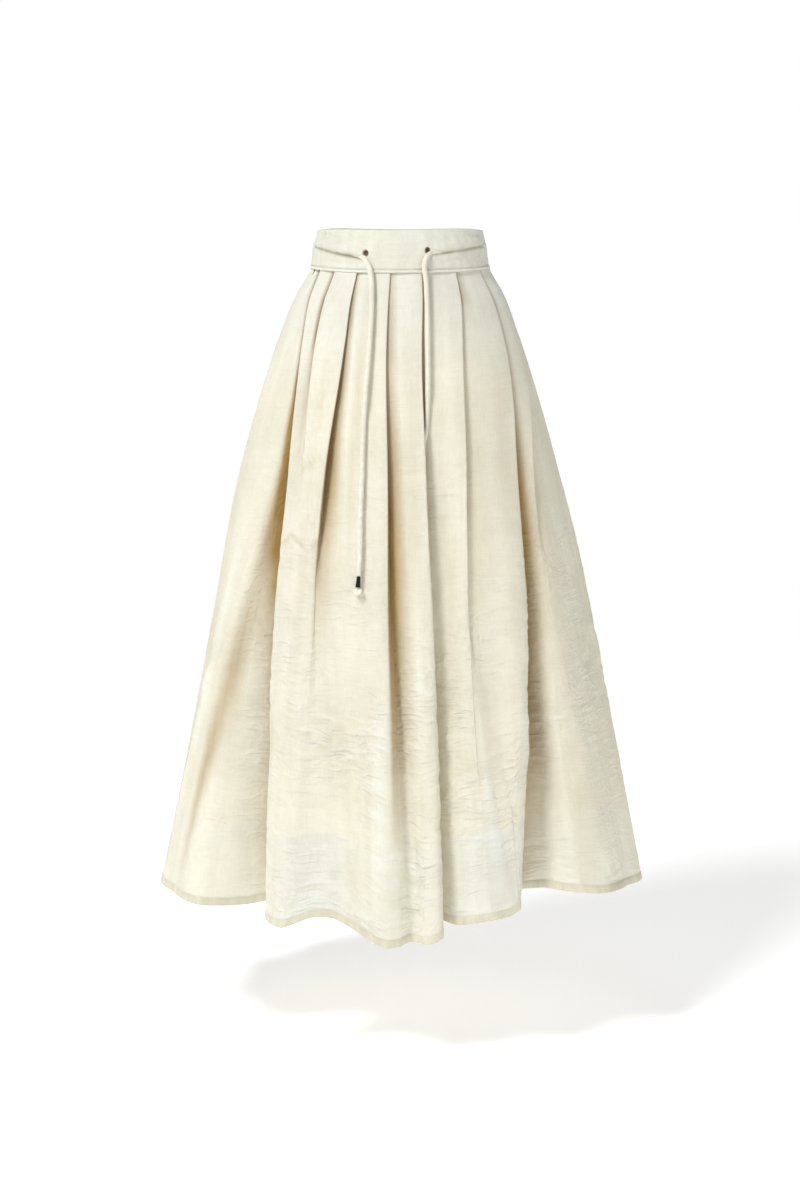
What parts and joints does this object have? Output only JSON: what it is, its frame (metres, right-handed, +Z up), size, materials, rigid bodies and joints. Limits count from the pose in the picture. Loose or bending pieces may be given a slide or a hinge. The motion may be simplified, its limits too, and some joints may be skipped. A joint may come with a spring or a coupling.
{
  "type": "drawstring skirt",
  "caption": "Long hollow skirt, worn form: tunnel waistband, soft unpressed pleats flaring to a narrow hem, inner lining, and a round cloth tie with dark tips and end knots.",
  "frame": {"origin": "centre of the waist tube, halfway up the waistband", "axes": "+Z up along the wearer, -Y to the front, +X to the right of a viewer who faces the front"},
  "size_m": [0.6596, 0.4786, 0.9242],
  "materials": {
    "ivory_linen": "matt sheer plain weave with slubs",
    "cream_lining": "matt fine lining cloth",
    "black_tip": "smooth satin sleeve"
  },
  "bodies": {
    "root": {"waistband": "ivory_linen", "front_panel": "ivory_linen", "back_panel": "ivory_linen", "lining": "cream_lining", "tie_in_tunnel": "ivory_linen", "tie_left": "ivory_linen", "tie_right": "ivory_linen", "tie_knot_left": "ivory_linen", "tie_knot_right": "ivory_linen", "tie_tip_left": "black_tip", "tie_tip_right": "black_tip"}
  },
  "joints": []
}
